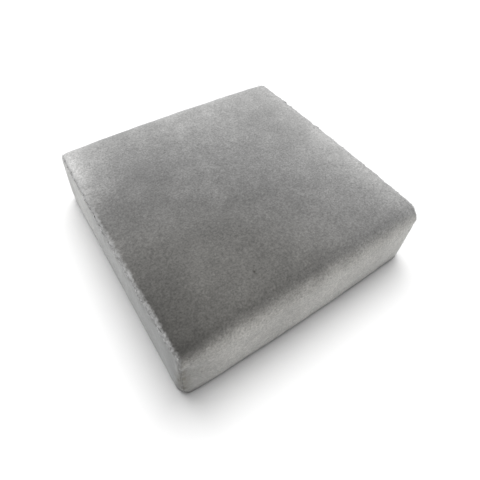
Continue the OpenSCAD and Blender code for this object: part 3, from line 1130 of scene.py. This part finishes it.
def plug(tree, made, inputs):
    """Links or sets a node's inputs, whichever each one's value is."""
    for key, value in inputs.items():
        if isinstance(value, bpy.types.NodeSocket):
            tree.links.new(value, made.inputs[key])
        else:
            made.inputs[key].default_value = value


def node(tree, kind, inputs=None, **settings):
    made = tree.nodes.new("ShaderNode" + kind)
    for key, value in settings.items():
        setattr(made, key, value)
    plug(tree, made, inputs or {})
    return made


def remap(tree, value, low, high, to_low=0.0, to_high=1.0, kind="LINEAR"):
    inputs = {"Value": value, 1: low, 2: high, 3: to_low, 4: to_high}
    return node(tree, "MapRange", inputs, interpolation_type=kind).outputs[0]


def grey(value, warm=0.0):
    """A grey with a warm cast."""
    return (value * (1 + 0.6 * warm), value * (1 + 0.1 * warm), value * (1 - warm), 1)


class Look:
    """A Principled material and short ways to add nodes to it. a, b and share are sockets or numbers."""

    def __init__(self, name):
        self.material = bpy.data.materials.new(name)
        self.material.use_nodes = True
        self.tree = self.material.node_tree
        self.place = self.node("TexCoord").outputs["Object"]

    def node(self, kind, inputs=None, **settings):
        return node(self.tree, kind, inputs, **settings)

    def calc(self, operation, a, b=0.0, clamp=False):
        return self.node("Math", {0: a, 1: b}, operation=operation, use_clamp=clamp).outputs[0]

    def add(self, a, b):
        return self.calc("ADD", a, b)

    def times(self, a, b):
        return self.calc("MULTIPLY", a, b)

    def blend(self, share, a, b, mode="MIX"):
        return self.node("Mix", {0: share, 6: a, 7: b}, data_type="RGBA", blend_type=mode).outputs[2]

    def remap(self, *values, **settings):
        return remap(self.tree, *values, **settings)

    def middle(self, value, to_low, to_high):
        """The middle of a noise, spread from one value to another."""
        return self.remap(value, 0.3, 0.7, to_low, to_high)

    def noise(self, scale, detail=2.0, roughness=0.5, distortion=0.0, place=None):
        inputs = {"Vector": self.place if place is None else place, "Scale": scale, "Detail": detail}
        inputs.update({"Roughness": roughness, "Distortion": distortion})
        return self.node("TexNoise", inputs).outputs[0]

    def stretched(self, scale, turn):
        return self.node("Mapping", {"Vector": self.place, "Scale": scale, "Rotation": turn}).outputs[0]

    def streaks(self, scale, turn, *values):
        return self.noise(1, *values, place=self.stretched(scale, turn))

    def bands(self, place, scale, **settings):
        return self.node("TexWave", {"Vector": place, "Scale": scale}, **settings)

    def pores(self, scale):
        return self.node("TexVoronoi", {"Vector": self.place, "Scale": scale}).outputs[0]

    def attribute(self, name):
        return self.node("Attribute", attribute_name=name).outputs["Fac"]

    def bump(self, height, strength, distance):
        return self.node("Bump", {"Strength": strength, "Distance": distance, "Height": height}).outputs[0]

    def area(self, centre, squeeze, reach, inside, outside):
        """A number that goes smoothly from its centre's value to another at its reach."""
        squeezed = [c * s for c, s in zip(centre, squeeze)]
        near = self.node("VectorMath", {0: self.place, 1: squeeze}, operation="MULTIPLY").outputs[0]
        far = self.node("VectorMath", {0: near, 1: squeezed}, operation="DISTANCE").outputs["Value"]
        return self.remap(far, 0.0, reach, inside, outside, kind="SMOOTHSTEP")

    def ramp(self, value, stops):
        """A colour ramp from rows of position, grey and warmth."""
        made = self.node("ValToRGB", {"Fac": value})
        elements = made.color_ramp.elements
        while len(elements) < len(stops):
            elements.new(0.5)
        for element, (position, shade, warm) in zip(elements, stops):
            element.position = position
            element.color = grey(shade, warm)
        return made.outputs[0]

    def done(self, colour, roughness, bump=None, sheen=None, **sockets):
        """Plugs the shader. sheen is its weight and roughness. Other sockets have _ for a space."""
        inputs = {"Base Color": colour, "Roughness": roughness}
        if bump is not None:
            inputs["Normal"] = bump
        if sheen is not None:
            inputs.update({"Sheen Weight": sheen[0], "Sheen Roughness": sheen[1]})
        inputs.update({key.replace("_", " "): value for key, value in sockets.items()})
        plug(self.tree, self.tree.nodes["Principled BSDF"], inputs)
        return self.material


# The velvet's shades are fixed on the cushion and set against the one photo. They hold, as
# colour, much of what real velvet owes to light and to viewing angle. No node reads the camera.

# Patches darker or paler than the field: centre, how much each axis is squeezed, reach, gain. Most are
# painted light: painted shade on the top and the left wall near the front left corner, painted light at
# the back of the left wall, painted sheen along the right and left top edges, and painted highlights at
# the top of the front left seam and along the back of the left seam. The others darken or pale broad
# areas of the cloth.
PATCHES = [
    ((-0.3, -0.25, 0.13), (1.7, 1, 1), 0.25, 0.66),
    ((-0.3, -0.28, 0.08), (2, 1, 1), 0.26, 0.76),
    ((-0.283, -0.298, 0.14), (1, 1, 1), 0.02, 1.6),
    ((-0.3, 0.25, 0.08), (2, 1, 1), 0.26, 1.8),
    ((0.3, -0.06, 0.165), (2.5, 1, 1), 0.34, 1.35),
    ((0.0, 0.31, 0.02), (0.25, 1.5, 1), 0.15, 0.6),
    ((0.19, 0.23, 0.165), (1, 1, 1), 0.12, 0.82),
    ((-0.3, 0.12, 0.165), (1, 1, 1), 0.1, 1.12),
    ((-0.297, 0.2, 0.158), (3, 1, 3), 0.16, 1.3),
    ((0.1, 0.06, 0.165), (1, 1, 1), 0.24, 0.9),
]
# The top pales outwards from a centre, squeeze and reach, as painted sheen. The centre is the spot
# below the fitted camera, because that is where the photo's velvet pales from. It stays there in other views.
TOP_SHEEN_AREA = (-0.34, -0.47, 0.16), (1, 1, 0.3), 1.1
TOP_SHEEN_SHADES = [
    (0.0, 0.103, 0.07), (0.07, 0.105, 0.06), (0.3, 0.137, 0.04), (0.45, 0.17, 0.02), (0.6, 0.225, 0.01),
    (0.85, 0.355, 0.01), (1.0, 0.52, 0.01),
]
# How much of the walls' paler colour, a painted sheen, shows as the cloth turns down.
WALL_SHEEN_SHARES = [(0.15, 0.0, 0), (0.33, 0.25, 0), (0.53, 0.72, 0), (0.75, 1.0, 0)]
# Painted shade: a dark, warm band down the front left corner seam, the shade of its groove.
CORNER_SEAM_SHADE = (-HALF + 3 * MM, 3 * MM - HALF, 0.075), (1, 1, 0.24), 0.026, 0.85, 0.0
FLUFF = (-0.0998, -0.2251, 0.163), (1, 1, 0.3), 0.0045, 1.0, 0.0


def velvet_material():
    """Dark across the top and pale down the sides as painted sheen, mottled, with a pale seam as a
    painted highlight and painted shade that darkens the cloth towards the floor.
    """
    look = Look("velvet_grey")
    brushed = look.noise(5.5, 2, 0.5)
    patches = look.noise(24, 3, 0.55, 0.6)
    mottle = look.noise(110, 5, 0.68)
    strokes = look.streaks((90, 560, 400), (0, 0, 0.5), 2, 0.6)
    cross = look.streaks((110, 600, 400), (0, 0, 2.1), 2, 0.6)
    tips = look.noise(260, 4, 0.75)
    relief = look.add(look.times(mottle, 0.9), look.times(tips, 0.35))
    relief = look.add(relief, look.times(look.add(strokes, cross), 0.12))
    normal = look.node("TexCoord").outputs["Normal"]
    flat = look.node("SeparateXYZ", {0: normal}).outputs
    # Painted sheen: the top takes the darker shades and the walls the paler grey as the cloth turns down.
    wall_sheen = look.ramp(look.calc("SUBTRACT", 1.0, flat["Z"]), WALL_SHEEN_SHARES)
    colour = look.blend(wall_sheen, look.ramp(look.area(*TOP_SHEEN_AREA, 0.0, 1.0), TOP_SHEEN_SHADES), grey(0.5, 0.05))
    gain = look.middle(brushed, 0.88, 1.14)
    spreads = [(patches, 0.9, 1.1), (mottle, 0.88, 1.12), (strokes, 0.94, 1.06), (cross, 0.94, 1.06)]
    for texture, low, high in [*spreads, (tips, 0.62, 1.38)]:
        gain = look.times(gain, look.middle(texture, low, high))
    for centre, squeeze, reach, share in PATCHES:
        gain = look.times(gain, look.area(centre, squeeze, reach, share, 1.0))
    # Painted shade: darker towards the floor, and on the base towards its seams.
    gain = look.times(gain, look.remap(look.attribute("hem"), 0.0, 1.0, 1.0, 0.25))
    # Painted shade: the sewn-in sides, facing along X, are darker than the front, back and top.
    gain = look.times(gain, look.remap(look.calc("ABSOLUTE", flat["X"]), 0.6, 0.95, 1.0, 0.5))
    colour = look.blend(1.0, colour, gain, "MULTIPLY")
    # Painted highlight: a pale line along the side seams, where the pile turns over the fold, broken by the
    # mottle.
    broken = look.add(look.attribute("seam"), look.times(look.add(mottle, -0.5), 1.6))
    colour = look.blend(look.remap(broken, 0.35, 0.95, 0.0, 0.75), colour, grey(0.42))
    # Painted shade in the front left corner seam's groove.
    colour = look.blend(look.area(*CORNER_SEAM_SHADE), colour, grey(0.1, 0.3))
    colour = look.blend(look.remap(look.pores(9.0), 0.006, 0.012, 0.75, 0.0), colour, grey(0.03, 0.1))
    colour = look.blend(look.area(*FLUFF), colour, grey(0.02, 0.2))
    bump = look.bump(relief, 0.55, 1.3 * MM)
    tint = (0.97, 0.99, 1.0, 1)
    roughness = look.middle(patches, 0.78, 0.95)
    return look.done(colour, roughness, bump, (0.6, 0.4), Sheen_Tint=tint, Specular_IOR_Level=0.25)


def pile_material():
    """Single tufts at the seams, paler than the field: a painted sheen on the pile."""
    look = Look("velvet_pile_sheen")
    shade = look.noise(210, 2, 0.5)
    colour = look.blend(look.remap(shade, 0.35, 0.65), grey(0.3, 0.02), grey(0.8))
    return look.done(colour, 0.85, sheen=(0.5, 0.5))


def thread_material():
    """Twisted polyester thread."""
    look = Look("thread_grey")
    twist = look.bands(look.stretched((1, 1, 1), (0.3, 0.5, 0.8)), 900.0).outputs[1]
    colour = look.blend(look.middle(look.noise(60, 2), 0.0, 1.0), grey(0.4), grey(0.62))
    colour = look.blend(look.times(twist, 0.35), colour, grey(0.22))
    return look.done(colour, 0.6, look.bump(twist, 0.5, 0.1 * MM), Sheen_Weight=0.3)


def woven(name, warp_scale, weft_scale, dark, light, depth, roughness=0.8, warm=0.0, diagonal=0.0):
    """A plain or twill weave from two crossing sets of threads, with slubs."""
    look = Look(name)
    turned = look.stretched((1, 1, 1), (0, diagonal, 0))
    sets = []
    for direction, scale in (("X", warp_scale), ("Z", weft_scale), ("Y", weft_scale)):
        made = look.bands(turned, scale, bands_direction=direction)
        made.inputs["Distortion"].default_value = 0.4
        sets.append(made.outputs[1])
    warp, weft_z, weft_y = sets
    weave = look.times(look.add(warp, 0.15), look.calc("MAXIMUM", weft_z, weft_y))
    slubs = look.noise(120, 3)
    share = look.calc("ADD", look.times(weave, 0.7), look.middle(slubs, -0.1, 0.35), clamp=True)
    colour = look.blend(share, grey(dark, warm), grey(light, warm))
    spread = look.middle(slubs, roughness - 0.08, roughness + 0.08)
    return look.done(colour, spread, look.bump(weave, 0.5, depth), Sheen_Weight=0.2)


def nylon_material():
    look = Look("nylon_coil")
    tone = look.noise(300, 2)
    colour = look.blend(look.middle(tone, 0.0, 1.0), grey(0.15), grey(0.23))
    return look.done(colour, look.middle(tone, 0.28, 0.42), Coat_Weight=0.25)


def metal_material():
    """Brushed nickel, a little handled."""
    look = Look("zip_nickel")
    brushed = look.streaks((200, 2600, 2600), (0, 0, 0), 2)
    worn = look.noise(350, 3)
    colour = look.blend(look.middle(worn, 0.0, 1.0), grey(0.5), grey(0.66))
    bump = look.bump(brushed, 0.15, 0.03 * MM)
    return look.done(colour, look.middle(worn, 0.22, 0.4), bump, Metallic=1.0)


def foam_material(name, pore, dark, light, warm):
    """Open-cell foam: small round pores of mixed size."""
    look = Look(name)
    cells, big = look.pores(1 / pore), look.pores(0.31 / pore)
    depth = look.add(cells, look.times(look.remap(big, 0.0, 0.25), 0.7))
    # The pores are darker than the cell walls round them: painted shade in the pits.
    colour = look.blend(look.remap(depth, 0.2, 1.0), grey(dark, warm), grey(light, warm))
    aged = look.remap(look.noise(14, 2), 0.35, 0.7, 0.0, 0.25)
    colour = look.blend(aged, colour, grey(light * 0.8, warm * 1.6))
    return look.done(colour, 0.95, look.bump(depth, 0.8, pore * 0.4))


def wadding_material():
    """White polyester fibre, matted."""
    look = Look("wadding_fibre")
    fibres = look.streaks((140, 700, 700), (0.2, 0.4, 0.7), 4, 0.65, 0.8)
    others = look.streaks((700, 120, 700), (0.5, 0.1, 0.3), 4, 0.65, 0.8)
    mat = look.calc("MAXIMUM", fibres, others)
    colour = look.blend(look.remap(mat, 0.4, 0.7), grey(0.66), grey(0.9))
    return look.done(colour, 0.9, look.bump(mat, 0.8, 1.0 * MM), (0.6, 0.6))


VELVET_MATERIAL = velvet_material()
PILE_MATERIAL = pile_material()
THREAD_MATERIAL = thread_material()
TAPE_MATERIAL = woven("zip_tape_twill", 520.0, 380.0, 0.09, 0.2, 0.12 * MM, diagonal=0.5)
LABEL_MATERIAL = woven("label_satin", 700.0, 420.0, 0.72, 0.88, 0.05 * MM, 0.45)
LINING_MATERIAL = woven("lining_cotton", 420.0, 420.0, 0.6, 0.8, 0.1 * MM, 0.85, 0.05)
TEETH_MATERIAL = nylon_material()
METAL_MATERIAL = metal_material()
FIRM_FOAM_MATERIAL = foam_material("foam_firm", 1.1 * MM, 0.38, 0.68, 0.22)
SOFT_FOAM_MATERIAL = foam_material("foam_soft", 1.6 * MM, 0.5, 0.8, 0.1)
WADDING_MATERIAL = wadding_material()


# ---------------------------------------------------------------- build


def build_cover():
    wrap = wrap_panel()
    facing = zip_facing()
    base = base_panel()
    for side, word in ((-1, "left"), (1, "right")):
        panel = side_panel(side, f"cover_side_panel_{word}")
        seam_pile(side, f"seam_pile_{word}", 80 + side)
        side_thread(side, f"seam_thread_{word}")
    base_thread()
    zip_thread()
    label = care_label()


def build_zip():
    for upper in (True, False):
        tape = zip_tape(upper)
        zip_teeth(upper)
    zip_stops()
    zip_slider()
    pull_tab()


def build_filling():
    bag = lining_bag()
    wadding_sleeve()
    wadding_end(-1)
    wadding_end(1)
    core = foam_slab("foam_firm_core", FOAM_DEPTH, FOAM_SPLIT, FIRM_FOAM_MATERIAL, 51)
    soft = SOFT_FOAM_MATERIAL
    comfort = foam_slab("foam_comfort_layer", FOAM_SPLIT, TOP - FOAM_DEPTH, soft, 52)


# ---------------------------------------------------------------- camera, floor and light

CAMERA_PLACE = (-0.3417, -0.4723, 0.7338)
CAMERA_AZIMUTH = -35.58
CAMERA_ELEVATION = 51.72
CAMERA_ROLL = 2.89
CAMERA_LENS = 27.5
CAMERA_SHIFT = (0.027, -0.033)


def make_camera():
    data = bpy.data.cameras.new("camera")
    data.lens = CAMERA_LENS
    data.sensor_width = 36
    data.shift_x, data.shift_y = CAMERA_SHIFT
    data.clip_start = 0.01
    camera = bpy.data.objects.new("camera", data)
    bpy.context.scene.collection.objects.link(camera)
    camera.location = CAMERA_PLACE
    a, e = math.radians(CAMERA_AZIMUTH), math.radians(CAMERA_ELEVATION)
    back = Vector((math.sin(a) * math.cos(e), -math.cos(a) * math.cos(e), math.sin(e)))
    camera.rotation_mode = "QUATERNION"
    aim = (-back).to_track_quat("-Z", "Y")
    camera.rotation_quaternion = aim @ Matrix.Rotation(math.radians(CAMERA_ROLL), 4, "Z").to_quaternion()
    bpy.context.scene.camera = camera


def make_floor():
    size = 6.0
    corners = [(-size, -size, 0), (size, -size, 0), (size, size, 0), (-size, size, 0)]
    floor = mesh_object("studio_floor", corners, [[0, 1, 2, 3]])
    look = Look("studio_white")
    colour = look.blend(look.noise(3, 2), grey(0.92), grey(0.94))
    floor.data.materials.append(look.done(colour, 0.9, Specular_IOR_Level=0.0))


def make_light():
    scene = bpy.context.scene
    scene.view_settings.view_transform = "Standard"
    sun = bpy.data.lights.new("key", "SUN")
    sun.energy = 2.95
    sun.angle = math.radians(48)
    key = bpy.data.objects.new("key", sun)
    scene.collection.objects.link(key)
    key.rotation_mode = "QUATERNION"
    key.rotation_quaternion = Vector((-0.2, -0.43, -1.0)).to_track_quat("-Z", "Y")
    world = bpy.data.worlds.new("studio")
    scene.world = world
    world.use_nodes = True
    tree = world.node_tree
    sky = node(tree, "TexCoord").outputs["Generated"]
    height = node(tree, "SeparateXYZ", {0: sky}).outputs[2]
    strength = remap(tree, height, -0.1, 0.9, 0.14, 0.46)
    tree.links.new(strength, tree.nodes["Background"].inputs["Strength"])
    tree.nodes["Background"].inputs["Color"].default_value = (1, 1, 1, 1)


make_camera()
build_cover()
build_zip()
build_filling()
make_floor()
make_light()
